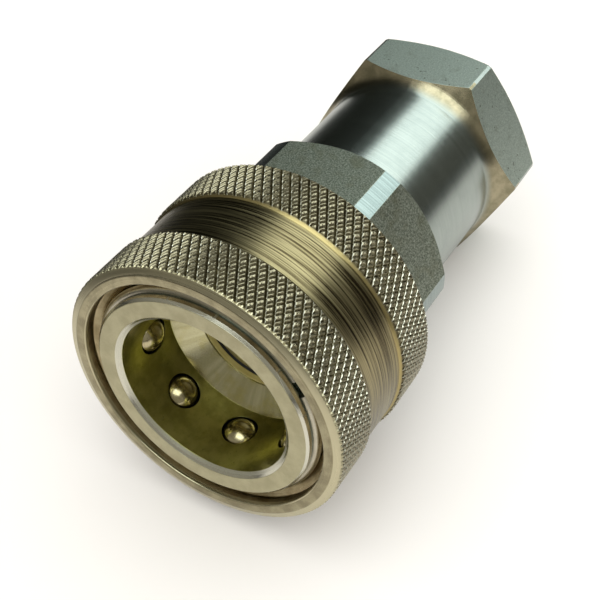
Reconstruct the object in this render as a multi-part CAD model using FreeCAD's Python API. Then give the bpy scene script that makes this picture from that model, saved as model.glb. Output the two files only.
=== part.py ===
"""Quick disconnect coupler, socket half, for hydraulic lines.

The centre line is the X axis: x = 0 is the plane of the mouth, and +X runs
back to the pipe port. +Z points up out of one flat of each hexagon.
A plug goes into the bore from -X, and a ring of steel balls locks it. The
balls are held in by a spring-loaded sleeve and let go when it is drawn back.
All sizes are in millimetres.
"""
import math
import os

import FreeCAD
import Part

os.makedirs("parts", exist_ok=True)

V = FreeCAD.Vector
X_AXIS = V(1, 0, 0)
ORIGIN = V(0, 0, 0)

# ---------------------------------------------------------------- driving sizes
# Bore and nose
plug_bore_d = 32.76         # hole that takes the plug
lead_in_width = 1.0         # radial width of the bore's entry chamfer
lead_in_depth = 0.9
nose_wall = 4.6             # wall between the bore and the outside of the nose
nose_edge_chamfer = 0.5

# Locking balls
ball_count = 8
ball_d = 7.14
ball_protrusion = 1.5       # how far a locked ball stands into the bore
ball_first_angle = 2.8      # degrees, first ball, from +Z towards +Y
ball_hole_clearance = 0.04
ball_lip_reduction = 0.17   # the ball hole's mouth is this much smaller in radius
ball_hole_taper_depth = 0.52
ball_to_bore_end = 1.4      # plain bore behind the ball holes

# Wire ring that keeps the sleeve on
ring_wire_d = 2.0
ring_centre_x = 2.65
ring_groove_clearance = 0.03
ring_gap_width = 3.0
ring_gap_angle = -60.0      # degrees, from +Z towards +Y

# Locking sleeve
sleeve_travel = 2.7
lock_gap = 0.18             # between a locked ball and the land around it
ramp_clearance = 0.05
recess_clearance = 0.08
stop_face_angle = 30.0      # degrees, between the stop face and a square face
stop_gap = 0.02
stop_overlap = 0.43         # how far the ring stands behind the stop rib
stop_rib_width = 0.2
land_length = 8.6
spring_room_extra = 0.4     # the spring room is this much larger than the recess
sleeve_wall = 3.0
sleeve_length = 31.8
sleeve_face_width = 1.7     # flat front face
sleeve_face_edge = 0.25
sleeve_bevel_depth = 0.46
sleeve_bevel_drop = 0.3
knurl_front_x = 0.9
knurl_length = 9.3
groove_depth = 0.75
groove_side_length = 0.8
sleeve_rear_chamfer = 0.5
sleeve_rear_inner_chamfer = 0.3

# Body outside
guide_clearance = 0.08      # sleeve on body
guide_start_chamfer = 0.65
guide_after_bore_end = 0.4
spring_seat_width = 1.8     # collar behind the sleeve spring
spring_seat_depth = 3.6     # collar's front face inside the sleeve's rear edge
collar_clearance = 0.4
hex_to_spring_room = 1.3    # front hexagon corners inside the sleeve's rear
front_hex_end = 47.3        # where its corners end
flat_to_corner = 2.2        # front hexagon: turned corner radius less half the flats
front_hex_rear_drop = 2.5

# Throat, seat and valve room
seat_cone_length = 2.9
throat_ratio = 0.714        # throat radius over bore radius
throat_lip = 0.3
seal_groove_depth = 2.5
seal_groove_width = 3.7
backup_ring_width = 1.2
seal_side_clearance = 0.05
seal_cord_d = 2.36
seat_land = 1.4
seat_height = 3.4
thread_wall = 3.3           # half the flats less the body thread's radius
guide_shoulder = 1.1
guide_x = 34.0

# Poppet
poppet_front_recess = 1.65  # poppet face behind the throat's front edge
poppet_nose_clearance = 0.5
poppet_face_chamfer = 0.3
poppet_seat_gap = 0.25      # along X
poppet_rim_length = 1.15
poppet_pocket_depth = 1.4
poppet_pocket_outer = 10.2
poppet_pocket_inner = 6.0
poppet_stem_d = 6.0
poppet_stem_length = 12.1
poppet_stem_chamfer = 0.6
poppet_travel = 4.0
poppet_cord_d = 2.0
poppet_cord_gap = 0.02
poppet_cord_along = 2.1     # along the seat from its inner edge

# Springs
sleeve_wire_d = 1.2
sleeve_spring_gap = 0.3     # spring over the body
sleeve_spring_turns = 4.0
poppet_wire_d = 1.2
poppet_spring_turns = 3.0
poppet_spring_r = 8.2       # mean radius
spring_end_gap = 0.03
coil_steps = 30             # straight stretches in each turn

# Valve guide
guide_rim_width = 3.1
guide_length = 3.0
guide_side_clearance = 0.1
guide_disc_r = 9.6
guide_disc_length = 1.5
guide_hub_r = 5.5
guide_hub_length = 4.5
guide_arm_width = 3.6
guide_arm_count = 3
stem_clearance = 0.04

# Adapter
spigot_clearance = 0.03
body_cord_d = 1.7
body_cord_groove_width = 2.2
body_cord_groove_x = 1.2    # from the spigot's front
body_cord_clearance = 0.03
body_cord_room = 1.75       # depth of the groove
spigot_flare_r = 14.0
spigot_flare_length = 2.6
flow_bore_r = 11.0
neck_step = 1.8             # half the flats less the neck's radius
neck_fillet = 4.0
rear_corner_extra = 0.35    # rear hexagon's corners over the front one's
rear_flat_drop = 0.35       # rear hexagon's flats below the front one's
rear_hex_length = 9.6       # along its corners
rear_hex_end_drop = 1.7     # from its corners' end to the rear face
rear_hex_front_chamfer = 35.0   # degrees off the end plane
rear_hex_end_chamfer = 30.0
overall_length = 91.4
port_minor_d = 24.12        # parallel pipe thread, 3/4 size
port_depth = 18.0
port_mouth_chamfer = 1.3
port_end_cone = 1.0

# ---------------------------------------------------------------- derived sizes
bore_r = plug_bore_d / 2
nose_r = bore_r + nose_wall
ball_r = ball_d / 2
ball_centre_r = bore_r - ball_protrusion + ball_r
ball_top_r = ball_centre_r + ball_r
land_r = ball_top_r + lock_gap
recess_r = ball_top_r + ball_protrusion + recess_clearance
spring_room_r = recess_r + spring_room_extra
sleeve_r = spring_room_r + sleeve_wall

ring_wire_r = ring_wire_d / 2
ring_r = nose_r + ring_groove_clearance
rib_r = ring_r + ring_wire_r - stop_overlap

stop_a = math.radians(stop_face_angle)
stop_reach = ring_wire_r + stop_gap


def stop_x(radius):
    """Where the sleeve's stop face, which just clears the wire ring, meets a radius."""
    return ring_centre_x + (stop_reach - (radius - ring_r) * math.sin(stop_a)) / math.cos(stop_a)


rib_rear_x = stop_x(rib_r) + stop_rib_width
released_rise = rib_r - (ball_centre_r + ball_protrusion)
ball_reach = math.sqrt((ball_r + ramp_clearance) ** 2 - released_rise ** 2)
ball_x = rib_rear_x + sleeve_travel + ball_reach + ramp_clearance

ramp_a = math.atan2(ball_protrusion, sleeve_travel)
ramp_touch_x = ball_x + (ball_r + ramp_clearance) * math.sin(ramp_a)
ramp_touch_r = ball_centre_r + (ball_r + ramp_clearance) * math.cos(ramp_a)


def ramp_x(radius):
    """Where the sleeve's release ramp meets a radius."""
    return ramp_touch_x - (radius - ramp_touch_r) / math.tan(ramp_a)


land_x = ramp_x(land_r)
land_end_x = land_x + land_length

bore_end_x = ball_x + ball_r + ball_to_bore_end
guide_r = land_r - guide_clearance
guide_start_x = ball_x + ball_r + guide_after_bore_end
sleeve_spring_r = guide_r + sleeve_spring_gap + sleeve_wire_d / 2
collar_r = spring_room_r - collar_clearance
spring_seat_x = sleeve_length - spring_seat_depth
hex_x = spring_seat_x + spring_seat_width
front_corner_r = spring_room_r - hex_to_spring_room
hex_r = front_corner_r - flat_to_corner
body_end_x = front_hex_end + front_hex_rear_drop
body_end_r = front_corner_r - front_hex_rear_drop

throat_r = bore_r * throat_ratio
throat_x = bore_end_x + seat_cone_length
seal_x = throat_x + throat_lip
seal_end_x = seal_x + seal_groove_width
seal_r = throat_r + seal_groove_depth
seat_x = seal_end_x + seat_land
seat_end_x = seat_x + seat_height
seat_end_r = throat_r + seat_height
thread_r = hex_r - thread_wall
room_r = thread_r - guide_shoulder

neck_r = hex_r - neck_step
rear_corner_r = front_corner_r + rear_corner_extra
rear_hex_r = hex_r - rear_flat_drop
front_slope = math.tan(math.radians(90 - rear_hex_front_chamfer))
rear_slope = math.tan(math.radians(90 - rear_hex_end_chamfer))
rear_hex_end = overall_length - rear_hex_end_drop
rear_hex_front = rear_hex_end - rear_hex_length
port_r = port_minor_d / 2

poppet_x = throat_x + poppet_front_recess
poppet_nose_r = throat_r - poppet_nose_clearance
poppet_cone_x = seat_x + poppet_seat_gap - poppet_nose_clearance
poppet_head_r = poppet_nose_r + seat_height + 0.1
poppet_head_x = poppet_cone_x + (poppet_head_r - poppet_nose_r)
poppet_back_x = poppet_head_x + poppet_rim_length
poppet_stem_r = poppet_stem_d / 2
pocket_x = poppet_back_x - poppet_pocket_depth
poppet_cord_r = poppet_cord_d / 2
cord_offset = (poppet_cord_r + poppet_cord_gap) * math.sqrt(0.5)
cord_along = poppet_cord_along * math.sqrt(0.5)
poppet_cord_x = seat_x + cord_along + cord_offset
poppet_cord_centre_r = throat_r + cord_along - cord_offset
spigot_x = guide_x + guide_length
spigot_r = thread_r - spigot_clearance


# ---------------------------------------------------------------- helpers
def turned(points):
    """A solid of revolution about the X axis, from its (x, radius) outline."""
    corners = [V(x, 0, r) for x, r in points]
    outline = Part.makePolygon(corners + corners[:1])
    return Part.Face(outline).revolve(ORIGIN, X_AXIS, 360)


def rod(x0, x1, radius):
    """A plain cylinder along X."""
    return Part.makeCylinder(radius, x1 - x0, V(x0, 0, 0), X_AXIS)


def hexagon(x0, x1, flat_r):
    """A hexagonal bar along X, with a flat at the top."""
    corner = flat_r / math.cos(math.radians(30))
    points = []
    for k in range(6):
        a = math.radians(30 + 60 * k)
        points.append(V(x0, corner * math.sin(a), corner * math.cos(a)))
    outline = Part.makePolygon(points + points[:1])
    return Part.Face(outline).extrude(V(x1 - x0, 0, 0))


def ring(x, centre_r, cord_r):
    """A round-section ring about X."""
    return Part.makeTorus(centre_r, cord_r, V(x, 0, 0), X_AXIS)


def around(shape, degrees):
    """The shape turned about X. Zero is +Z, and it turns towards +Y."""
    copy = shape.copy()
    copy.rotate(ORIGIN, X_AXIS, -degrees)
    return copy


def coil(x0, x1, mean_r, wire_d, turns):
    """A compression spring along X with plain ends."""
    rise = x1 - x0 - wire_d
    lead = rise / turns / (2 * math.pi)
    stations = int(turns * coil_steps)
    sections = []
    for k in range(stations + 1):
        a = 2 * math.pi * turns * k / stations
        centre = V(x0 + wire_d / 2 + rise * k / stations, mean_r * math.sin(a), mean_r * math.cos(a))
        along = V(lead, mean_r * math.cos(a), -mean_r * math.sin(a))
        sections.append(Part.Wire([Part.Edge(Part.Circle(centre, along, wire_d / 2))]))
    return Part.makeLoft(sections, True, True)


def write(name, shape):
    """One solid to its own file."""
    solids = shape.Solids
    if len(solids) == 1:
        shape = solids[0]
    shape.exportStep("parts/" + name + ".step")
    print(name, "solids", len(solids), "volume %.1f" % shape.Volume, "valid", shape.isValid())


# ---------------------------------------------------------------- body
def body_outline():
    """Outside of the body from mouth to rear, then its inside back to the mouth."""
    groove = ring_wire_r + ring_groove_clearance
    groove_floor = ring_r - groove
    outside = [
        (0, nose_r - nose_edge_chamfer),
        (nose_edge_chamfer, nose_r),
        (ring_centre_x - groove, nose_r),
        (ring_centre_x - groove, groove_floor),
        (ring_centre_x + groove, groove_floor),
        (ring_centre_x + groove, nose_r),
        (guide_start_x, nose_r),
        (guide_start_x + guide_start_chamfer, guide_r),
        (spring_seat_x, guide_r),
        (spring_seat_x, collar_r),
        (hex_x, collar_r),
        (hex_x, front_corner_r),
        (front_hex_end, front_corner_r),
        (body_end_x, body_end_r),
    ]
    inside = [
        (body_end_x, thread_r + 0.7),
        (body_end_x - 0.7, thread_r),
        (guide_x, thread_r),
        (guide_x, room_r),
        (seat_end_x, room_r),
        (seat_end_x, seat_end_r),
        (seat_x, throat_r),
        (seal_end_x, throat_r),
        (seal_end_x, seal_r),
        (seal_x, seal_r),
        (seal_x, throat_r),
        (throat_x, throat_r),
        (bore_end_x, bore_r),
        (lead_in_depth, bore_r),
        (0, bore_r + lead_in_width),
    ]
    return outside + inside


def ball_hole():
    """Tool for one ball hole along +Z: straight, with a narrower mouth in the bore."""
    hole_r = ball_r + ball_hole_clearance
    mouth_r = ball_r - ball_lip_reduction
    slope = (hole_r - mouth_r) / ball_hole_taper_depth
    start = bore_r - 1.5
    taper_end = bore_r + ball_hole_taper_depth
    start_r = hole_r - slope * (taper_end - start)
    taper = Part.makeCone(start_r, hole_r, taper_end - start, V(ball_x, 0, start))
    straight = Part.makeCylinder(hole_r, nose_wall + 3, V(ball_x, 0, taper_end))
    return taper.fuse(straight)


def valve_body():
    blank = turned(body_outline())
    outer = rod(hex_x, body_end_x + 1, collar_r + 5)
    waste = outer.cut(hexagon(hex_x, body_end_x + 1, hex_r))
    body = blank.cut(waste)
    tool = ball_hole()
    for k in range(ball_count):
        body = body.cut(around(tool, ball_first_angle + 360 / ball_count * k))
    return body


# ---------------------------------------------------------------- adapter
def adapter_outline():
    """Spigot, neck and rear hexagon, then the flow bore back to the spigot."""
    groove_x = spigot_x + body_cord_groove_x
    groove_end = groove_x + body_cord_groove_width
    groove_r = spigot_r - body_cord_room
    fillet_a = math.radians(90 - rear_hex_front_chamfer)
    cone_foot_x = rear_hex_front - (rear_corner_r - neck_r) / front_slope
    fillet_x = cone_foot_x - neck_fillet * math.tan(fillet_a / 2)
    outside = [
        (spigot_x, spigot_r - 0.5),
        (spigot_x + 0.5, spigot_r),
        (groove_x, spigot_r),
        (groove_x, groove_r),
        (groove_end, groove_r),
        (groove_end, spigot_r),
        (body_end_x, spigot_r),
        (body_end_x, neck_r),
    ]
    steps = 10
    for k in range(steps + 1):
        a = fillet_a * k / steps
        x = fillet_x + neck_fillet * math.sin(a)
        r = neck_r + neck_fillet * (1 - math.cos(a))
        outside.append((x, r))
    rear_drop = rear_hex_end_drop * rear_slope
    outside += [
        (rear_hex_front, rear_corner_r),
        (rear_hex_end, rear_corner_r),
        (overall_length, rear_corner_r - rear_drop),
    ]
    port_x = overall_length - port_depth
    inside = [
        (overall_length, port_r + port_mouth_chamfer),
        (overall_length - port_mouth_chamfer, port_r),
        (port_x, port_r),
        (port_x - port_end_cone, flow_bore_r),
        (spigot_x + spigot_flare_length, flow_bore_r),
        (spigot_x, spigot_flare_r),
    ]
    return outside + inside


def end_adapter():
    blank = turned(adapter_outline())
    x0 = body_end_x + 10
    x1 = overall_length + 1
    waste = rod(x0, x1, rear_corner_r + 5).cut(hexagon(x0, x1, rear_hex_r))
    return blank.cut(waste)


# ---------------------------------------------------------------- sleeve
def locking_sleeve():
    flat_outer_r = recess_r + sleeve_face_width
    bevel_r = sleeve_r - sleeve_bevel_drop
    floor_r = sleeve_r - groove_depth
    groove_x = knurl_front_x + knurl_length
    rear_band_x = sleeve_length - knurl_length + 0.1
    outside = [
        (0, flat_outer_r),
        (sleeve_bevel_depth, bevel_r),
        (knurl_front_x, sleeve_r),
        (groove_x, sleeve_r),
        (groove_x + groove_side_length, floor_r),
        (rear_band_x - groove_side_length, floor_r),
        (rear_band_x, sleeve_r),
        (sleeve_length - sleeve_rear_chamfer, sleeve_r),
        (sleeve_length, sleeve_r - sleeve_rear_chamfer),
    ]
    inside = [
        (sleeve_length, spring_room_r + sleeve_rear_inner_chamfer),
        (sleeve_length - sleeve_rear_inner_chamfer, spring_room_r),
        (land_end_x, spring_room_r),
        (land_end_x, land_r),
        (land_x, land_r),
        (ramp_x(recess_r), recess_r),
        (rib_rear_x, recess_r),
        (rib_rear_x, rib_r),
        (stop_x(rib_r), rib_r),
        (stop_x(recess_r), recess_r),
        (sleeve_face_edge, recess_r),
        (0, recess_r + sleeve_face_edge),
    ]
    return turned(outside + inside)


def sleeve_retaining_ring():
    whole = ring(ring_centre_x, ring_r, ring_wire_r)
    gap = Part.makeBox(4, ring_gap_width, 6, V(ring_centre_x - 2, -ring_gap_width / 2, ring_r - 3))
    return whole.cut(around(gap, ring_gap_angle))


def sleeve_spring():
    x0 = land_end_x + spring_end_gap
    x1 = spring_seat_x - spring_end_gap
    return coil(x0, x1, sleeve_spring_r, sleeve_wire_d, sleeve_spring_turns)


def ball(k):
    """One locking ball, held in at its locked position."""
    a = math.radians(ball_first_angle + 360 / ball_count * k)
    centre = V(ball_x, ball_centre_r * math.sin(a), ball_centre_r * math.cos(a))
    return Part.makeSphere(ball_r, centre)


# ---------------------------------------------------------------- seals
def socket_backup_ring():
    x0 = seal_x + seal_side_clearance
    x1 = x0 + backup_ring_width
    outer = seal_r - seal_side_clearance
    inner = throat_r - seal_side_clearance
    return turned([(x0, inner), (x0, outer), (x1, outer), (x1, inner)])


def socket_o_ring():
    cord_r = seal_cord_d / 2
    x = seal_end_x - seal_side_clearance - cord_r
    return ring(x, seal_r - seal_side_clearance - cord_r, cord_r)


def poppet_o_ring():
    return ring(poppet_cord_x, poppet_cord_centre_r, poppet_cord_r)


def body_o_ring():
    cord_r = body_cord_d / 2
    x = spigot_x + body_cord_groove_x + body_cord_groove_width / 2
    return ring(x, spigot_r - body_cord_room + body_cord_clearance + cord_r, cord_r)


# ---------------------------------------------------------------- valve
def poppet():
    stem_end = poppet_back_x + poppet_stem_length
    blank = turned([
        (poppet_x, 0),
        (poppet_x, poppet_nose_r - poppet_face_chamfer),
        (poppet_x + poppet_face_chamfer, poppet_nose_r),
        (poppet_cone_x, poppet_nose_r),
        (poppet_head_x, poppet_head_r),
        (poppet_back_x, poppet_head_r),
        (poppet_back_x, poppet_pocket_outer),
        (pocket_x, poppet_pocket_outer),
        (pocket_x, poppet_pocket_inner),
        (poppet_back_x, poppet_pocket_inner),
        (poppet_back_x, poppet_stem_r),
        (stem_end - poppet_stem_chamfer, poppet_stem_r),
        (stem_end, poppet_stem_r - poppet_stem_chamfer),
        (stem_end, 0),
    ])
    groove = ring(poppet_cord_x, poppet_cord_centre_r, poppet_cord_r + poppet_cord_gap / 2)
    return blank.cut(groove)


def poppet_spring():
    x0 = pocket_x + spring_end_gap
    x1 = guide_x - spring_end_gap
    return coil(x0, x1, poppet_spring_r, poppet_wire_d, poppet_spring_turns)


def valve_guide():
    rim_r = thread_r - guide_side_clearance
    rim_inner = rim_r - guide_rim_width
    end_x = guide_x + guide_length
    guide = rod(guide_x, end_x, rim_r).cut(rod(guide_x, end_x, rim_inner))
    guide = guide.fuse(rod(guide_x, guide_x + guide_disc_length, guide_disc_r))
    guide = guide.fuse(rod(guide_x, guide_x + guide_hub_length, guide_hub_r))
    arm = Part.makeBox(guide_length, guide_arm_width, rim_inner + 0.5,
                       V(guide_x, -guide_arm_width / 2, 0))
    for k in range(guide_arm_count):
        guide = guide.fuse(around(arm, 360 / guide_arm_count * k))
    bore = rod(guide_x - 1, guide_x + guide_hub_length + 1, poppet_stem_r + stem_clearance)
    return guide.cut(bore).removeSplitter()


# ---------------------------------------------------------------- output
write("valve_body", valve_body())
write("end_adapter", end_adapter())
write("body_o_ring", body_o_ring())
write("locking_sleeve", locking_sleeve())
write("sleeve_retaining_ring", sleeve_retaining_ring())
write("sleeve_spring", sleeve_spring())
write("socket_backup_ring", socket_backup_ring())
write("socket_o_ring", socket_o_ring())
write("poppet", poppet())
write("poppet_o_ring", poppet_o_ring())
write("poppet_spring", poppet_spring())
write("valve_guide", valve_guide())
for number in range(ball_count):
    write("ball_%d" % (number + 1), ball(number))

print("ball_x %.3f ball_centre_r %.3f land_x %.3f land_end_x %.3f" % (ball_x, ball_centre_r, land_x, land_end_x))
print("sleeve_r %.3f hex_r %.3f neck_r %.3f throat_x %.3f throat_r %.3f" % (sleeve_r, hex_r, neck_r, throat_x, throat_r))
print("bore_end_x %.3f poppet_x %.3f spring_seat_x %.3f" % (bore_end_x, poppet_x, spring_seat_x))
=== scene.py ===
# %% [markdown]
# # A quick disconnect coupler
# The object is the socket half of a hydraulic quick disconnect coupler. A knurled sleeve slides on a
# turned steel body. Eight steel balls in the body hold the plug half until the sleeve is drawn back.
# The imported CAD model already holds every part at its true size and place, so this lesson loads it,
# keeps the parts whose shape is right, makes the knurled sleeve again in fine detail, and gives each
# part the finish that the real one has.
# %% Load the CAD frame
import math

import bpy
import numpy as np
from mathutils import Matrix, Vector


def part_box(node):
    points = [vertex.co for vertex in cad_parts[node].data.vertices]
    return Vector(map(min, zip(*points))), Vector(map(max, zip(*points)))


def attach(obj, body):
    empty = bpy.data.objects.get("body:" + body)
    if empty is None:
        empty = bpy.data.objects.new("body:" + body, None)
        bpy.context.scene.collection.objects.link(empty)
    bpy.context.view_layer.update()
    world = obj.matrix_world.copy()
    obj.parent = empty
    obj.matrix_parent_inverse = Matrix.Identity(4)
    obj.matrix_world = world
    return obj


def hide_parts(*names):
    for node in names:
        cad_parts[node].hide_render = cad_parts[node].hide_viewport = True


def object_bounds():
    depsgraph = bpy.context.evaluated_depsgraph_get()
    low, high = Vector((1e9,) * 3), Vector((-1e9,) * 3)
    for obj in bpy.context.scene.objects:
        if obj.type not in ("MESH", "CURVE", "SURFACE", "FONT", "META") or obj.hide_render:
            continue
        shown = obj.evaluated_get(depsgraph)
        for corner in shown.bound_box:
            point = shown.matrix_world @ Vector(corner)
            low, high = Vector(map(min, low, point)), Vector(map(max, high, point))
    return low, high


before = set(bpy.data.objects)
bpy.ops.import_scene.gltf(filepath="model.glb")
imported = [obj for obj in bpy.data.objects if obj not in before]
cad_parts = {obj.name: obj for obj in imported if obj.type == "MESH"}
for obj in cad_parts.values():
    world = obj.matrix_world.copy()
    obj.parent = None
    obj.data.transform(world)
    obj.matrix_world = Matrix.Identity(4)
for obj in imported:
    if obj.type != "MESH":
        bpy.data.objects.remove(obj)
cad_low, cad_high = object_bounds()
mm = 0.001
print("parts:", len(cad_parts), "length in mm: %.1f" % ((cad_high - cad_low).x / mm))

# %% [markdown]
# Every finish here is a tree of shader nodes. Placing and wiring them by hand in code is wordy, so a
# few helpers come first. They could be written out each time, but then the recipe of a finish would be
# lost among its wiring. `put` adds one node, sets its plain values and links the rest.
# %% Helpers that add nodes
def put(tree, kind, inputs=None, **settings):
    """Adds one shader node. An input is either a plain value or another node's output."""
    node = tree.nodes.new("ShaderNode" + kind)
    for name, value in settings.items():
        setattr(node, name, value)
    for name, value in (inputs or {}).items():
        if isinstance(value, bpy.types.NodeSocket):
            tree.links.new(value, node.inputs[name])
        else:
            node.inputs[name].default_value = value
    return node


def calc(tree, operation, *terms):
    """One arithmetic step on numbers or outputs."""
    return put(tree, "Math", dict(enumerate(terms)), operation=operation).outputs[0]


def mixed(tree, share, under, over):
    """Two colours mixed by a share from 0 to 1. A colour is three numbers or an output."""
    colours = [c if isinstance(c, bpy.types.NodeSocket) else (*c, 1) for c in (under, over)]
    node = put(tree, "Mix", data_type="RGBA")
    for socket, value in ((0, share), (6, colours[0]), (7, colours[1])):
        if isinstance(value, bpy.types.NodeSocket):
            tree.links.new(value, node.inputs[socket])
        else:
            node.inputs[socket].default_value = value
    return node.outputs[2]


def spread(tree, value, low, high, to_low=0.0, to_high=1.0):
    """Stretches a value from one range to another with soft ends, and never past them."""
    inputs = {0: value, 1: low, 2: high, 3: to_low, 4: to_high}
    return put(tree, "MapRange", inputs, interpolation_type="SMOOTHSTEP").outputs[0]


def noise(tree, place, fineness, detail=2.0, rough=0.5):
    """Cloudy noise. Fineness is how many clouds there are in a metre."""
    inputs = {"Vector": place, "Scale": fineness, "Detail": detail, "Roughness": rough}
    return put(tree, "TexNoise", inputs).outputs[0]


print("node helpers ready")

# %% [markdown]
# Most faces of this object were cut on a lathe, and the tool leaves fine rings round the centre line.
# A picture of such rings could be wrapped on the part, but it would blur and needs unwrapping.
# Here the rings come from the shape itself: noise that changes quickly along the part and with the
# distance from its centre line, and slowly round it.
# %% Places on a turned part
class Turned:
    """What a finish needs to know about a point: along the axis, out from it, and the lathe's rings."""

    def __init__(self, name):
        self.material = bpy.data.materials.new(name)
        self.material.use_nodes = True
        self.tree = self.material.node_tree
        self.tree.nodes.clear()
        self.place = put(self.tree, "TexCoord").outputs["Object"]
        parts = put(self.tree, "SeparateXYZ", {0: self.place}).outputs
        self.x, self.y, self.z = parts[0], parts[1], parts[2]
        y2 = calc(self.tree, "MULTIPLY", self.y, self.y)
        self.r = calc(self.tree, "SQRT", calc(self.tree, "MULTIPLY_ADD", self.z, self.z, y2))

    def rings(self, pitch, drift=0.02, detail=2.0):
        """Rings left by a tool, pitch metres apart, that wander a little round the part."""
        tree = self.tree
        out = calc(tree, "MULTIPLY_ADD", self.y, drift, self.r)
        place = put(tree, "CombineXYZ", {0: self.x, 1: out, 2: calc(tree, "MULTIPLY", self.z, drift)})
        return noise(tree, place.outputs[0], 1 / pitch, detail, 0.6)

    def fans(self, count):
        """Streaks that run out from the centre line like the folds of a fan, about count of them."""
        tree = self.tree
        across = [calc(tree, "DIVIDE", part, self.r) for part in (self.y, self.z)]
        place = put(tree, "CombineXYZ", dict(enumerate(across)))
        return noise(tree, place.outputs[0], count / (2 * math.pi), 3.0, 0.6)

    def below(self, value, limit, soft=0.05 * mm):
        """1 where a value is below a limit, 0 above it."""
        return spread(self.tree, value, limit - soft, limit + soft, 1.0, 0.0)

    def above(self, value, limit, soft=0.05 * mm):
        """1 where a value is above a limit, 0 below it."""
        return calc(self.tree, "SUBTRACT", 1.0, self.below(value, limit, soft))

    def both(self, a, b):
        """1 where two masks are both 1."""
        return calc(self.tree, "MULTIPLY", a, b)

    def finish(self, colour, roughness, height, depth, metallic=1.0, edge=0.12 * mm):
        """Closes the tree: a metal with that colour and roughness, and bumps as deep as depth."""
        tree = self.tree
        soft = put(tree, "Bevel", {"Radius": edge}, samples=4).outputs[0]
        bumps = put(tree, "Bump", {"Height": height, "Distance": depth, "Normal": soft})
        names = {"Metallic": metallic, "Base Color": colour, "Roughness": roughness,
                 "Normal": bumps.outputs[0]}
        shader = put(tree, "BsdfPrincipled", names)
        put(tree, "OutputMaterial", {"Surface": shader.outputs[0]})
        return self.material


print("lathe rings ready")

# %% [markdown]
# The hexagons are most likely the flats of the drawn bar that the parts were cut from. They show no
# rings from a lathe's tool, but a fine grain. A point lies on a flat when its distance
# from the centre line, measured square to the nearest flat, is half the size across flats.
# %% Where the hexagon flats are
front_half_flats = 20.5 * mm
rear_half_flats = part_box("end_adapter")[1].z


def on_flats(t, half_flats):
    """1 on the six flats of a hexagon, 0 elsewhere."""
    tree = t.tree
    across = calc(tree, "ABSOLUTE", t.z)
    for side in (1, -1):
        slanted = calc(tree, "MULTIPLY", t.y, side * math.sin(math.radians(60)))
        slanted = calc(tree, "MULTIPLY_ADD", t.z, math.cos(math.radians(60)), slanted)
        across = calc(tree, "MAXIMUM", across, calc(tree, "ABSOLUTE", slanted))
    return calc(tree, "COMPARE", across, half_flats, 0.04 * mm)


print("across flats in mm: front %.1f, rear %.1f" % (2 * front_half_flats / mm, 2 * rear_half_flats / mm))

# %% [markdown]
# ## The valve body
# The body is plated steel. Its nose is dull, the bore where the plug goes is a dark olive, and the
# cone at the bottom of the bore is a lighter brushed silver. One finish
# does all of this with masks made from the distance along and out from the centre line. Separate
# materials could be given face by face, but the borders would then follow the mesh and not the wear.
# %% Where the body's faces are
bore_r = 16.38 * mm
bore_end = 14.7 * mm
inside_r = 16.9 * mm
lead_in_r = 17.3 * mm
lips_end = 1.3 * mm
wetted_end = 29 * mm
crisp = 0.02 * mm
print("bore in mm: %.1f across, %.1f deep" % (2 * bore_r / mm, bore_end / mm))

# %% [markdown]
# Clouds and grain are used by every finish, so they have a function of their own. The throat has
# streaks that fan out from its middle. They bump the surface a little, and in the colour they are
# lighter: painted highlights, like the fans of light that a turned face shows. Masks are multiplied
# together, which is how two limits make a region.
# %% Finish of the valve body
def grain_of(t):
    """Fine grain and larger cloudy stains of drawn bar."""
    fine = noise(t.tree, t.place, 1 / (0.32 * mm), 4.0, 0.75)
    cloud = noise(t.tree, t.place, 1 / (3.5 * mm), 4.0, 0.6)
    return fine, cloud


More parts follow.
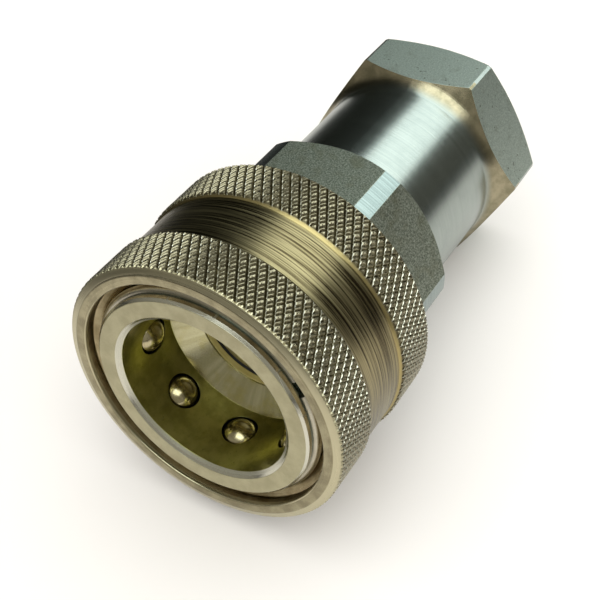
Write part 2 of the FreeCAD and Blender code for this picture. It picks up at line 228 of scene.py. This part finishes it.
def body_finish():
    t = Turned("Body_steel")
    tree = t.tree
    fine, cloud = grain_of(t)
    rings = t.rings(0.35 * mm)
    fans = t.fans(40)
    flats = on_flats(t, front_half_flats)
    inside = t.both(t.below(t.r, lead_in_r - 0.1 * mm), t.below(t.x, wetted_end))
    bore = t.both(t.below(t.r, inside_r), t.below(t.x, bore_end, 0.1 * mm))
    face = t.both(t.below(t.x, 0.06 * mm, crisp), t.above(t.r, lead_in_r, crisp))
    lips = t.both(t.below(t.x, lips_end, crisp), t.above(t.r, bore_r + 0.04 * mm, crisp))
    steel = mixed(tree, spread(tree, rings, 0.3, 0.7), (0.21, 0.26, 0.25), (0.29, 0.35, 0.335))
    bar = mixed(tree, spread(tree, fine, 0.35, 0.65), (0.12, 0.14, 0.105), (0.46, 0.495, 0.41))
    bar = mixed(tree, spread(tree, cloud, 0.45, 0.75, 0.0, 0.5), bar, (0.19, 0.19, 0.11))
    # Painted highlights: lighter streaks that fan out from the middle of the throat.
    throat = mixed(tree, spread(tree, fans, 0.35, 0.65), (0.47, 0.435, 0.25), (0.61, 0.57, 0.365))
    throat = mixed(tree, spread(tree, cloud, 0.45, 0.7, 0.0, 0.7), throat, (0.46, 0.40, 0.14))
    olive = mixed(tree, spread(tree, cloud, 0.35, 0.65), (0.36, 0.34, 0.11), (0.52, 0.49, 0.19))
    dull = mixed(tree, spread(tree, cloud, 0.3, 0.7), (0.46, 0.42, 0.27), (0.56, 0.52, 0.345))
    colour = mixed(tree, flats, steel, bar)
    colour = mixed(tree, inside, colour, throat)
    colour = mixed(tree, bore, colour, olive)
    colour = mixed(tree, lips, colour, (0.66, 0.64, 0.53))
    colour = mixed(tree, face, colour, dull)
    rough = spread(tree, fine, 0.3, 0.7, 0.17, 0.25)
    rough = calc(tree, "MULTIPLY_ADD", flats, 0.26, rough)
    rough = calc(tree, "MULTIPLY_ADD", bore, 0.10, rough)
    rough = calc(tree, "MULTIPLY_ADD", face, 0.30, rough)
    grainy = calc(tree, "MULTIPLY", fine, calc(tree, "MAXIMUM", flats, face))
    height = calc(tree, "MULTIPLY_ADD", grainy, 4.0, rings)
    height = calc(tree, "MULTIPLY_ADD", calc(tree, "MULTIPLY", fans, inside), 3.0, height)
    return t.finish(colour, rough, height, 0.0025 * mm)


body_steel = body_finish()
print("finish:", body_steel.name)

# %% [markdown]
# ## The end adapter
# The neck of the adapter is turned and then polished, so it mirrors the room in long bands along its
# length. Its rings are finer and shallower than those of the body. The hexagon behind it is the same
# bar stock, a little lighter, with its corners chamfered on the lathe. The cone of that chamfer and
# the fillet in front of it are painted brown, a painted reflection of the warm room that they face.
# %% Finish of the end adapter
warm_reflection_start = 76.2 * mm
warm_reflection_end = 82.5 * mm


def adapter_finish():
    t = Turned("Adapter_steel")
    tree = t.tree
    fine, cloud = grain_of(t)
    rings = t.rings(0.22 * mm, 0.004, 3.0)
    flats = on_flats(t, rear_half_flats)
    warm_reflection_mask = t.both(t.above(t.x, warm_reflection_start, 1.2 * mm), t.below(t.x, warm_reflection_end, 0.2 * mm))
    steel = mixed(tree, spread(tree, rings, 0.3, 0.7), (0.31, 0.35, 0.325), (0.38, 0.42, 0.39))
    steel = mixed(tree, spread(tree, cloud, 0.4, 0.75, 0.0, 0.4), steel, (0.27, 0.31, 0.29))
    # Painted reflection: brown on the chamfer's cone and the fillet, for the warm room they mirror.
    cone = mixed(tree, spread(tree, cloud, 0.35, 0.65), (0.26, 0.235, 0.15), (0.42, 0.37, 0.25))
    bar = mixed(tree, spread(tree, fine, 0.3, 0.7), (0.34, 0.40, 0.355), (0.58, 0.65, 0.58))
    bar = mixed(tree, spread(tree, cloud, 0.55, 0.75, 0.0, 0.5), bar, (0.22, 0.23, 0.17))
    specks = noise(tree, t.place, 1 / (0.9 * mm), 2.0)
    bar = mixed(tree, spread(tree, specks, 0.66, 0.74, 0.0, 0.75), bar, (0.10, 0.10, 0.07))
    colour = mixed(tree, warm_reflection_mask, steel, cone)
    colour = mixed(tree, flats, colour, bar)
    rough = spread(tree, rings, 0.3, 0.7, 0.235, 0.265)
    rough = calc(tree, "MULTIPLY_ADD", flats, 0.22, rough)
    height = calc(tree, "MULTIPLY_ADD", calc(tree, "MULTIPLY", fine, flats), 6.0, rings)
    return t.finish(colour, rough, height, 0.0009 * mm)


adapter_steel = adapter_finish()
print("finish:", adapter_steel.name)

# %% [markdown]
# ## The small parts
# The balls are smooth steel with a yellow tint, the valve and its guide are turned, the springs and the
# retaining ring are drawn wire, and the seals are rubber and plastic. They share one short recipe
# with different numbers, because each is one even stuff with light wear.
# %% Finishes of the small parts
def plain_finish(name, dark, light, rough, depth, metallic=1.0):
    """One even stuff: rings or grain, cloudy stains, and roughness between two values."""
    t = Turned(name)
    tree = t.tree
    fine, cloud = grain_of(t)
    rings = t.rings(0.4 * mm)
    share = calc(tree, "MULTIPLY_ADD", rings, 0.5, calc(tree, "MULTIPLY", cloud, 0.5))
    colour = mixed(tree, spread(tree, share, 0.35, 0.65), dark, light)
    roughness = spread(tree, fine, 0.3, 0.7, *rough)
    height = calc(tree, "MULTIPLY_ADD", fine, 0.7, rings)
    return t.finish(colour, roughness, height, depth, metallic, 0.08 * mm)


ball_steel = plain_finish("Ball_steel", (0.44, 0.38, 0.22), (0.60, 0.53, 0.34), (0.16, 0.26), 0.001 * mm)
valve_steel = plain_finish("Valve_steel", (0.38, 0.36, 0.26), (0.54, 0.51, 0.38), (0.28, 0.42), 0.006 * mm)
wire_steel = plain_finish("Ring_wire", (0.42, 0.38, 0.29), (0.60, 0.56, 0.45), (0.26, 0.40), 0.004 * mm)
spring_steel = plain_finish("Spring_wire", (0.16, 0.15, 0.13), (0.34, 0.33, 0.30), (0.25, 0.40), 0.004 * mm)
guide_steel = plain_finish("Guide_steel", (0.38, 0.38, 0.34), (0.55, 0.54, 0.48), (0.25, 0.38), 0.006 * mm)
rubber = plain_finish("Black_rubber", (0.012, 0.012, 0.012), (0.03, 0.03, 0.028), (0.45, 0.62),
                      0.006 * mm, metallic=0.0)
plastic = plain_finish("Seal_plastic", (0.60, 0.50, 0.16), (0.74, 0.64, 0.26), (0.35, 0.5),
                       0.004 * mm, metallic=0.0)
print("finishes so far:", len(bpy.data.materials))

# %% [markdown]
# A CAD part keeps its mesh, and only the material in its slots changes. The table below says which
# finish each part wears.
# %% Dress the CAD parts
wears = {
    "valve_body": body_steel, "end_adapter": adapter_steel, "poppet": valve_steel,
    "valve_guide": guide_steel, "sleeve_retaining_ring": wire_steel,
    "sleeve_spring": spring_steel, "poppet_spring": spring_steel,
    "body_o_ring": rubber, "socket_o_ring": rubber, "poppet_o_ring": rubber,
    "socket_backup_ring": plastic,
}
wears.update({"ball_%d" % k: ball_steel for k in range(1, 9)})


def dress(thing, material):
    """Every slot of a thing gets the one material."""
    if not thing.material_slots:
        thing.data.materials.append(material)
    for s in thing.material_slots:
        s.material = material


for name, material in wears.items():
    dress(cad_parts[name], material)
print("dressed:", len(wears), "of", len(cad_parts))

# %% [markdown]
# ## The locking sleeve
# The sleeve has two knurled bands with a smooth groove between them. A knurl is rolled in by two
# crossed wheels, which press two families of grooves into the steel at 30 degrees to the axis and
# leave rows of diamonds. It could be faked by bumps in the material, but the edge of the sleeve would
# then look smooth against the floor, so the diamonds are modelled. The sleeve is made as rings of
# points round the axis, and each point in a band is lowered where a groove crosses it. The two
# profiles below are the CAD sleeve's own corners, as distances in mm along the axis and out from it.
# %% Sizes of the sleeve
sleeve_low, sleeve_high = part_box("locking_sleeve")
sleeve_length = sleeve_high.x
sleeve_r = sleeve_high.z
print("sleeve in mm: %.1f long, %.1f across" % (sleeve_length / mm, 2 * sleeve_r / mm))

outer_profile = [(0, 25.3), (0.46, 26.7), (0.9, 27.0), (10.2, 27.0), (11.0, 26.25), (21.8, 26.25),
                 (22.6, 27.0), (31.3, 27.0), (31.8, 26.5)]
inner_profile = [(31.8, 24.3), (31.5, 24.0), (18.985, 24.0), (18.985, 22.2), (10.385, 22.2),
                 (7.865, 23.6), (3.699, 23.6), (3.699, 21.58), (3.499, 21.58), (2.332, 23.6),
                 (0.25, 23.6), (0, 23.85)]
knurl_spans = [(0.5, 10.68), (22.12, 31.7)]
mesh_sink = 0.01
print("corners:", len(outer_profile) + len(inner_profile))

# %% [markdown]
# A real edge is never perfectly sharp: it is rounded a little by the tool and by use, and that small
# round is what catches the light. The function below rounds each corner of a profile before it is
# turned. The Bevel modifier could do it afterwards, but a profile is far simpler to round than a mesh.
# %% Rounding a profile's corners
def softened(points, size, steps=3):
    """The profile with each inner corner replaced by a small curve."""
    rounded = [points[0]]
    for before, here, after in zip(points, points[1:], points[2:]):
        p, q, s = (np.array(v, float) for v in (before, here, after))
        back, ahead = np.linalg.norm(p - q), np.linalg.norm(s - q)
        a = q + (p - q) / back * min(size, 0.45 * back)
        b = q + (s - q) / ahead * min(size, 0.45 * ahead)
        for k in range(steps + 1):
            w = k / steps
            rounded.append(tuple((1 - w) ** 2 * a + 2 * w * (1 - w) * q + w * w * b))
    return rounded + [points[-1]]


outside = softened([inner_profile[-1]] + outer_profile + [inner_profile[0]], 0.12)[1:-1]
inside = softened([outer_profile[-1]] + inner_profile + [outer_profile[0]], 0.12)[1:-1]
print("profile points:", len(outside) + len(inside))

# %% [markdown]
# The bands have 94 diamonds round the sleeve. Twelve points make one diamond's width, and the rings
# of points stand just so far apart that one step round and one step along goes exactly along a groove.
# Every edge of a diamond then lies on edges of the mesh. One family of grooves is bold. The other is
# a wide groove with a narrow one beside it. Each top has a small pit.
# %% The knurl's height
diamonds = 94
points_in_diamond = 12
fine_count = diamonds * points_in_diamond
fine_per_coarse = 6
coarse_count = fine_count // fine_per_coarse
knurl_angle = math.radians(30)
ring_step = 2 * math.pi * (sleeve_r / mm) / fine_count / math.tan(knurl_angle)
knurl_depth = 0.45
pit_depth = 0.06
bold_groove = np.array([1, 0.6, 0.1, 0, 0, 0, 0, 0, 0, 0, 0.1, 0.6])
double_groove = np.array([0.8, 0.35, 0, 0, 0.35, 0.65, 0.35, 0, 0, 0, 0, 0.35])


def knurl_drop(row):
    """How far each point of a ring lies below the diamonds' tops, in mm."""
    column = np.arange(fine_count)
    first = (column - row) % points_in_diamond
    second = (column + row) % points_in_diamond
    drop = np.maximum(knurl_depth * bold_groove[first], knurl_depth * double_groove[second])
    drop[(first == 6) & ((second == 8) | (second == 9))] += pit_depth
    return drop


print("step between rings: %.3f mm" % ring_step)

# %% [markdown]
# The rings are now laid one after another along the outside and back along the inside, and joined by
# faces. In the bands each four-sided patch is cut in two along the diagonal that changes height least,
# so that a groove's edge stays straight. Rings with fewer points are enough on the smooth surfaces.
# %% Build the sleeve
def turned_ring(x, radii, count):
    """A ring of points round the axis."""
    angle = np.arange(count) * 2 * math.pi / count
    radii = np.broadcast_to(radii, count)
    return np.stack([np.full(count, x), radii * np.sin(angle), radii * np.cos(angle)], 1) * mm


def profile_r(profile, x):
    """How far out a profile is at a place along the axis."""
    xs, rs = np.array(profile).T
    return float(np.interp(x, xs, rs))


def sleeve_rings():
    """All the rings of the sleeve in order, each with the points it holds."""
    top = sleeve_r / mm - mesh_sink
    rings = []
    for x, r in outside:
        if not any(a <= x <= b for a, b in knurl_spans):
            rings.append((x, turned_ring(x, r, coarse_count)))
    for a, b in knurl_spans:
        for row in range(math.ceil(a / ring_step), int(b / ring_step) + 1):
            x = row * ring_step
            radii = np.minimum(profile_r(outside, x), top - knurl_drop(row))
            rings.append((x, turned_ring(x, radii, fine_count)))
    rings.sort(key=lambda item: item[0])
    return [points for _, points in rings] + [turned_ring(x, r, coarse_count) for x, r in inside]


def join_rings(a, b, start_a, start_b):
    """Faces between two rings of points. The counts may differ by a whole factor."""
    na, nb = len(a), len(b)
    faces = []
    if na == nb:
        for k in range(na):
            n = (k + 1) % na
            quad = (start_a + k, start_a + n, start_b + n, start_b + k)
            ra, rb = np.hypot(a[k, 1], a[k, 2]), np.hypot(b[n, 1], b[n, 2])
            rc, rd = np.hypot(a[n, 1], a[n, 2]), np.hypot(b[k, 1], b[k, 2])
            if na == coarse_count:
                faces.append(quad)
            elif abs(ra - rb) <= abs(rc - rd):
                faces += [(quad[0], quad[1], quad[2]), (quad[0], quad[2], quad[3])]
            else:
                faces += [(quad[0], quad[1], quad[3]), (quad[1], quad[2], quad[3])]
        return faces
    few, many = min(na, nb), max(na, nb)
    step = many // few
    for k in range(few):
        n = (k + 1) % few
        wide = [(k * step + j) % many for j in range(step + 1)]
        if na > nb:
            faces.append([start_a + j for j in wide] + [start_b + n, start_b + k])
        else:
            faces.append([start_a + k, start_a + n] + [start_b + j for j in reversed(wide)])
    return faces


def build_sleeve():
    """The closed sleeve as one object."""
    rings = sleeve_rings()
    starts = np.cumsum([0] + [len(r) for r in rings])
    faces = []
    for k, ring in enumerate(rings):
        n = (k + 1) % len(rings)
        faces += join_rings(ring, rings[n], int(starts[k]), int(starts[n]))
    mesh = bpy.data.meshes.new("Knurled_sleeve")
    mesh.from_pydata(np.concatenate(rings).tolist(), [], [list(map(int, f)) for f in faces])
    mesh.validate()
    mesh.polygons.foreach_set("use_smooth", [True] * len(mesh.polygons))
    mesh.set_sharp_from_angle(angle=math.radians(22))
    thing = bpy.data.objects.new("knurled_sleeve", mesh)
    bpy.context.scene.collection.objects.link(thing)
    return thing


sleeve = build_sleeve()
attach(sleeve, "sleeve")
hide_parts("locking_sleeve")
print("sleeve faces:", len(sleeve.data.polygons))

# %% [markdown]
# The sleeve's plating has a warm, slightly golden tint. The tops of the diamonds are bright and the
# grooves between them are painted dark, a painted shade in the recesses, so the colour follows the
# height of the knurl. A painted highlight, a bright line, runs along one side of each bold groove.
# Its place is worked out from the same angle and step as the mesh, so that colour and shape stay
# together.
# %% Follow the grooves
def groove_phase(t, way):
    """How far a point is through the repeat of one family of grooves, from 0 to 1, with 0 in a groove."""
    tree = t.tree
    round_it = calc(tree, "MULTIPLY", calc(tree, "ARCTAN2", t.y, t.z), diamonds / (2 * math.pi))
    along = calc(tree, "MULTIPLY_ADD", t.x, way / (points_in_diamond * ring_step * mm), round_it)
    return calc(tree, "FRACT", calc(tree, "ADD", along, 2.0 * diamonds))


print("grooves repeat every %.2f mm along the axis" % (points_in_diamond * ring_step))

# %% [markdown]
# The groove between the bands shows coarser rings, dark and light. The front face is duller than its
# bevelled rim.
# %% Finish of the sleeve
def sleeve_finish():
    t = Turned("Sleeve_steel")
    tree = t.tree
    fine, cloud = grain_of(t)
    rings = t.rings(0.34 * mm, 0.015, 5.0)
    first = t.both(t.above(t.x, 0.5 * mm, 0.2 * mm), t.below(t.x, 10.6 * mm, 0.2 * mm))
    second = t.both(t.above(t.x, 22.2 * mm, 0.2 * mm), t.below(t.x, 31.6 * mm, 0.1 * mm))
    outer = t.above(t.r, 25.2 * mm)
    knurl = t.both(calc(tree, "MAXIMUM", first, second), outer)
    deep = t.both(knurl, t.below(t.r, 26.80 * mm, 0.15 * mm))
    phase = groove_phase(t, -1)
    # Painted highlight: a bright line along one side of each bold groove, placed by the groove's phase.
    groove_edge_highlight = t.both(t.above(phase, 0.80, 0.02), t.below(phase, 0.875, 0.02))
    groove_edge_highlight = t.both(groove_edge_highlight, knurl)
    gold = mixed(tree, spread(tree, rings, 0.35, 0.65), (0.06, 0.045, 0.02), (0.37, 0.315, 0.17))
    tops = mixed(tree, spread(tree, fine, 0.3, 0.7), (0.20, 0.172, 0.105), (0.44, 0.40, 0.28))
    # Painted shade: the knurl's grooves are coloured dark where they are deep.
    groove_shade = mixed(tree, spread(tree, cloud, 0.35, 0.65), (0.04, 0.03, 0.012), (0.10, 0.08, 0.035))
    face = t.both(t.below(t.x, 0.06 * mm, crisp), t.above(t.r, 23.5 * mm))
    rim = t.both(t.below(t.x, 0.9 * mm, 0.1 * mm), t.above(t.r, 23.5 * mm))
    dull = mixed(tree, spread(tree, cloud, 0.35, 0.65), (0.27, 0.235, 0.145), (0.40, 0.355, 0.225))
    wall = mixed(tree, spread(tree, cloud, 0.35, 0.65), (0.28, 0.22, 0.12), (0.42, 0.35, 0.21))
    beside_band = t.both(t.above(t.x, 21.5 * mm, 0.4 * mm), t.below(t.x, 22.4 * mm, 0.1 * mm))
    gold = mixed(tree, beside_band, gold, (0.44, 0.355, 0.16))
    colour = mixed(tree, outer, wall, gold)
    colour = mixed(tree, knurl, colour, tops)
    # The painted shade goes into the grooves.
    colour = mixed(tree, deep, colour, groove_shade)
    # The painted highlight along the bold grooves.
    colour = mixed(tree, groove_edge_highlight, colour, (0.74, 0.72, 0.60))
    colour = mixed(tree, rim, colour, (0.56, 0.51, 0.34))
    colour = mixed(tree, face, colour, dull)
    rough = spread(tree, rings, 0.3, 0.7, 0.24, 0.38)
    rough = calc(tree, "MULTIPLY_ADD", deep, 0.3, rough)
    lines = calc(tree, "MULTIPLY", rings, calc(tree, "SUBTRACT", 1.0, knurl))
    height = calc(tree, "MULTIPLY_ADD", calc(tree, "MULTIPLY", fine, knurl), 0.5, lines)
    return t.finish(colour, rough, height, 0.03 * mm, edge=0.05 * mm)


sleeve_steel = sleeve_finish()
dress(sleeve, sleeve_steel)
print("finish:", sleeve_steel.name)

# %% [markdown]
# ## The floor
# The coupler lies on a white table, on the rear edge of its sleeve and one flat of its rear hexagon,
# so its centre line is a few degrees off level. The frame keeps the centre line level, so the table
# is tilted under it by the same small angle.
# %% Where the table is
sleeve_rear_chamfer = 0.5 * mm
hex_rear_chamfer = 1.7 * mm
sleeve_rest = Vector((sleeve_length - sleeve_rear_chamfer, 0, -sleeve_r))
hex_rest = Vector((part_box("end_adapter")[1].x - hex_rear_chamfer, 0, -rear_half_flats))
lean = math.atan2(hex_rest.z - sleeve_rest.z, hex_rest.x - sleeve_rest.x)
print("table's tilt: %.1f degrees" % math.degrees(lean))

# %% [markdown]
# The real steel mirrors a white table close by and darkness beyond it, as a small table in a dark
# room would give. A small table would leave the object on an island, so this one is wide, but mirrored
# rays see it fade to dark: soon on one side, and further off all round. That isn't how light really
# behaves. It is a shortcut that keeps the background plain.
# %% Finish of the table
def floor_finish():
    """Matt white, with the mirrored fade."""
    white = bpy.data.materials.new("Table_white")
    white.use_nodes = True
    tree = white.node_tree
    tree.nodes.clear()
    place = put(tree, "TexCoord").outputs["Object"]
    cloud = noise(tree, place, 9.0, 3.0)
    colour = mixed(tree, cloud, (0.90, 0.885, 0.855), (0.93, 0.915, 0.885))
    beside = spread(tree, put(tree, "SeparateXYZ", {0: place}).outputs[1], 0.06, 0.13)
    away = spread(tree, put(tree, "VectorMath", {0: place}, operation="LENGTH").outputs["Value"], 0.11, 0.28)
    mirrored = put(tree, "LightPath").outputs["Is Glossy Ray"]
    dim = calc(tree, "MAXIMUM", calc(tree, "MAXIMUM", beside, away), 0.15)
    dim = calc(tree, "MULTIPLY", dim, mirrored)
    colour = mixed(tree, dim, colour, (0.03, 0.03, 0.027))
    grain = noise(tree, place, 1 / (0.8 * mm), 2.0)
    bumps = put(tree, "Bump", {"Height": grain, "Distance": 0.005 * mm})
    shader = put(tree, "BsdfPrincipled", {"Base Color": colour, "Roughness": 0.6,
                                          "Normal": bumps.outputs[0]})
    put(tree, "OutputMaterial", {"Surface": shader.outputs[0]})
    return white


print("table finish ready")

# %% [markdown]
# The table top is a flat disc. It is a fan of faces and two rings, turned by the lean and set under
# the sleeve's rear edge.
# %% Build the table
table_steps = 24
table_radii = (0.3, 1.0, 2.5)


def build_floor():
    """A round table top, tilted to touch the sleeve and the rear hexagon."""
    steps = table_steps
    mesh = bpy.data.meshes.new("Table_top")
    points = [(0, 0, 0)]
    for r in table_radii:
        points += [(r * math.cos(a), r * math.sin(a), 0)
                   for a in np.arange(steps) * 2 * math.pi / steps]
    faces = [(0, 1 + k, 1 + (k + 1) % steps) for k in range(steps)]
    for ring in range(len(table_radii) - 1):
        s = 1 + ring * steps
        faces += [(s + k, s + steps + k, s + steps + (k + 1) % steps, s + (k + 1) % steps)
                  for k in range(steps)]
    mesh.from_pydata(points, [], faces)
    thing = bpy.data.objects.new("Table_top", mesh)
    bpy.context.scene.collection.objects.link(thing)
    thing.rotation_euler = (0, -lean, 0)
    thing.location = sleeve_rest
    dress(thing, floor_finish())
    return thing


build_floor()
print("table across in m: %.1f" % (2 * table_radii[-1]))

# %% [markdown]
# ## Light
# Polished steel shows little but its surroundings. The black and white bands along the real neck look
# like those of a dim room under a wide window. A wide lamp overhead is that
# window, and only the steel mirrors it. A larger and softer lamp is the daylight that falls on the
# table. One lamp could do both, but its shadows would be too hard when its mirror image is right.
# %% Lamps
def soft_lamp(name, place, target, width, height, watts, colour):
    """A rectangular soft lamp that faces its target."""
    data = bpy.data.lights.new(name, "AREA")
    data.shape = "RECTANGLE"
    data.size, data.size_y = width, height
    data.energy = watts
    data.color = colour
    thing = bpy.data.objects.new(name, data)
    bpy.context.scene.collection.objects.link(thing)
    away = Vector(place) - Vector(target)
    thing.location = place
    thing.rotation_euler = away.to_track_quat("Z", "Y").to_euler()
    return thing


middle = (cad_low + cad_high) / 2
window_place = middle + Vector((0.2, -0.19, 0.6))
below_window = window_place - Vector((0, 0, 1))
window = soft_lamp("Window", window_place, below_window, 1.8, 0.63, 9.0, (0.92, 1.0, 0.985))
window.visible_diffuse = False
daylight_place = middle + Vector((-0.3, -0.4, 1.2))
daylight = soft_lamp("Daylight", daylight_place, middle, 2.6, 2.6, 13.0, (1.0, 0.99, 0.97))
daylight.visible_glossy = False
print("lamps:", len(bpy.data.lights))

# %% [markdown]
# The room itself is a gradient: darker towards one side, lighter towards the other and the front. The
# camera and the table see a pale room instead, so that the background stays plain.
# %% Room
def build_room():
    """The room as mirrored by steel, as light on matt things, and as the camera's background."""
    world = bpy.data.worlds.new("Room")
    bpy.context.scene.world = world
    world.use_nodes = True
    tree = world.node_tree
    tree.nodes.clear()
    way = put(tree, "TexCoord").outputs["Generated"]
    x, y, z = put(tree, "SeparateXYZ", {0: way}).outputs
    side = spread(tree, y, -0.5, 0.3)
    room = mixed(tree, side, (0.11, 0.105, 0.085), (0.015, 0.016, 0.012))
    front = spread(tree, x, 0.1, -0.6)
    room = mixed(tree, front, room, (0.30, 0.29, 0.25))
    reflected = put(tree, "Background", {"Color": room, "Strength": 1.0})
    pale = put(tree, "Background", {"Color": (0.88, 0.86, 0.83, 1), "Strength": 1.0})
    soft = put(tree, "Background", {"Color": (1.0, 0.98, 0.95, 1), "Strength": 1.04})
    rays = put(tree, "LightPath").outputs
    room = put(tree, "MixShader", {0: rays["Is Diffuse Ray"], 1: reflected.outputs[0], 2: soft.outputs[0]})
    room = put(tree, "MixShader", {0: rays["Is Camera Ray"], 1: room.outputs[0], 2: pale.outputs[0]})
    put(tree, "OutputWorld", {"Surface": room.outputs[0]})


build_room()
bpy.context.scene.view_settings.view_transform = "Standard"
print("room ready")

# %% [markdown]
# ## Camera
# The camera looks down at the open mouth from in front and a little to one side. Its place and its
# three directions are written out, because a camera that is turned by hand is hard to repeat.
# %% Camera
camera_right = Vector((0.50556, -0.86254, -0.02097))
camera_up = Vector((0.58631, 0.32562, 0.74177))
camera_back = Vector((-0.63297, -0.38730, 0.67033))
camera_place = Vector((-0.101638, -0.082446, 0.139256))
camera_data = bpy.data.cameras.new("Camera")
camera_data.lens = 68.44
camera_data.clip_start, camera_data.clip_end = 0.01, 20
camera = bpy.data.objects.new("Camera", camera_data)
bpy.context.scene.collection.objects.link(camera)
turn = Matrix((camera_right, camera_up, camera_back)).transposed().to_4x4()
camera.matrix_world = Matrix.Translation(camera_place) @ turn
bpy.context.scene.camera = camera
print("camera's distance: %.3f m" % (camera_place - middle).length)
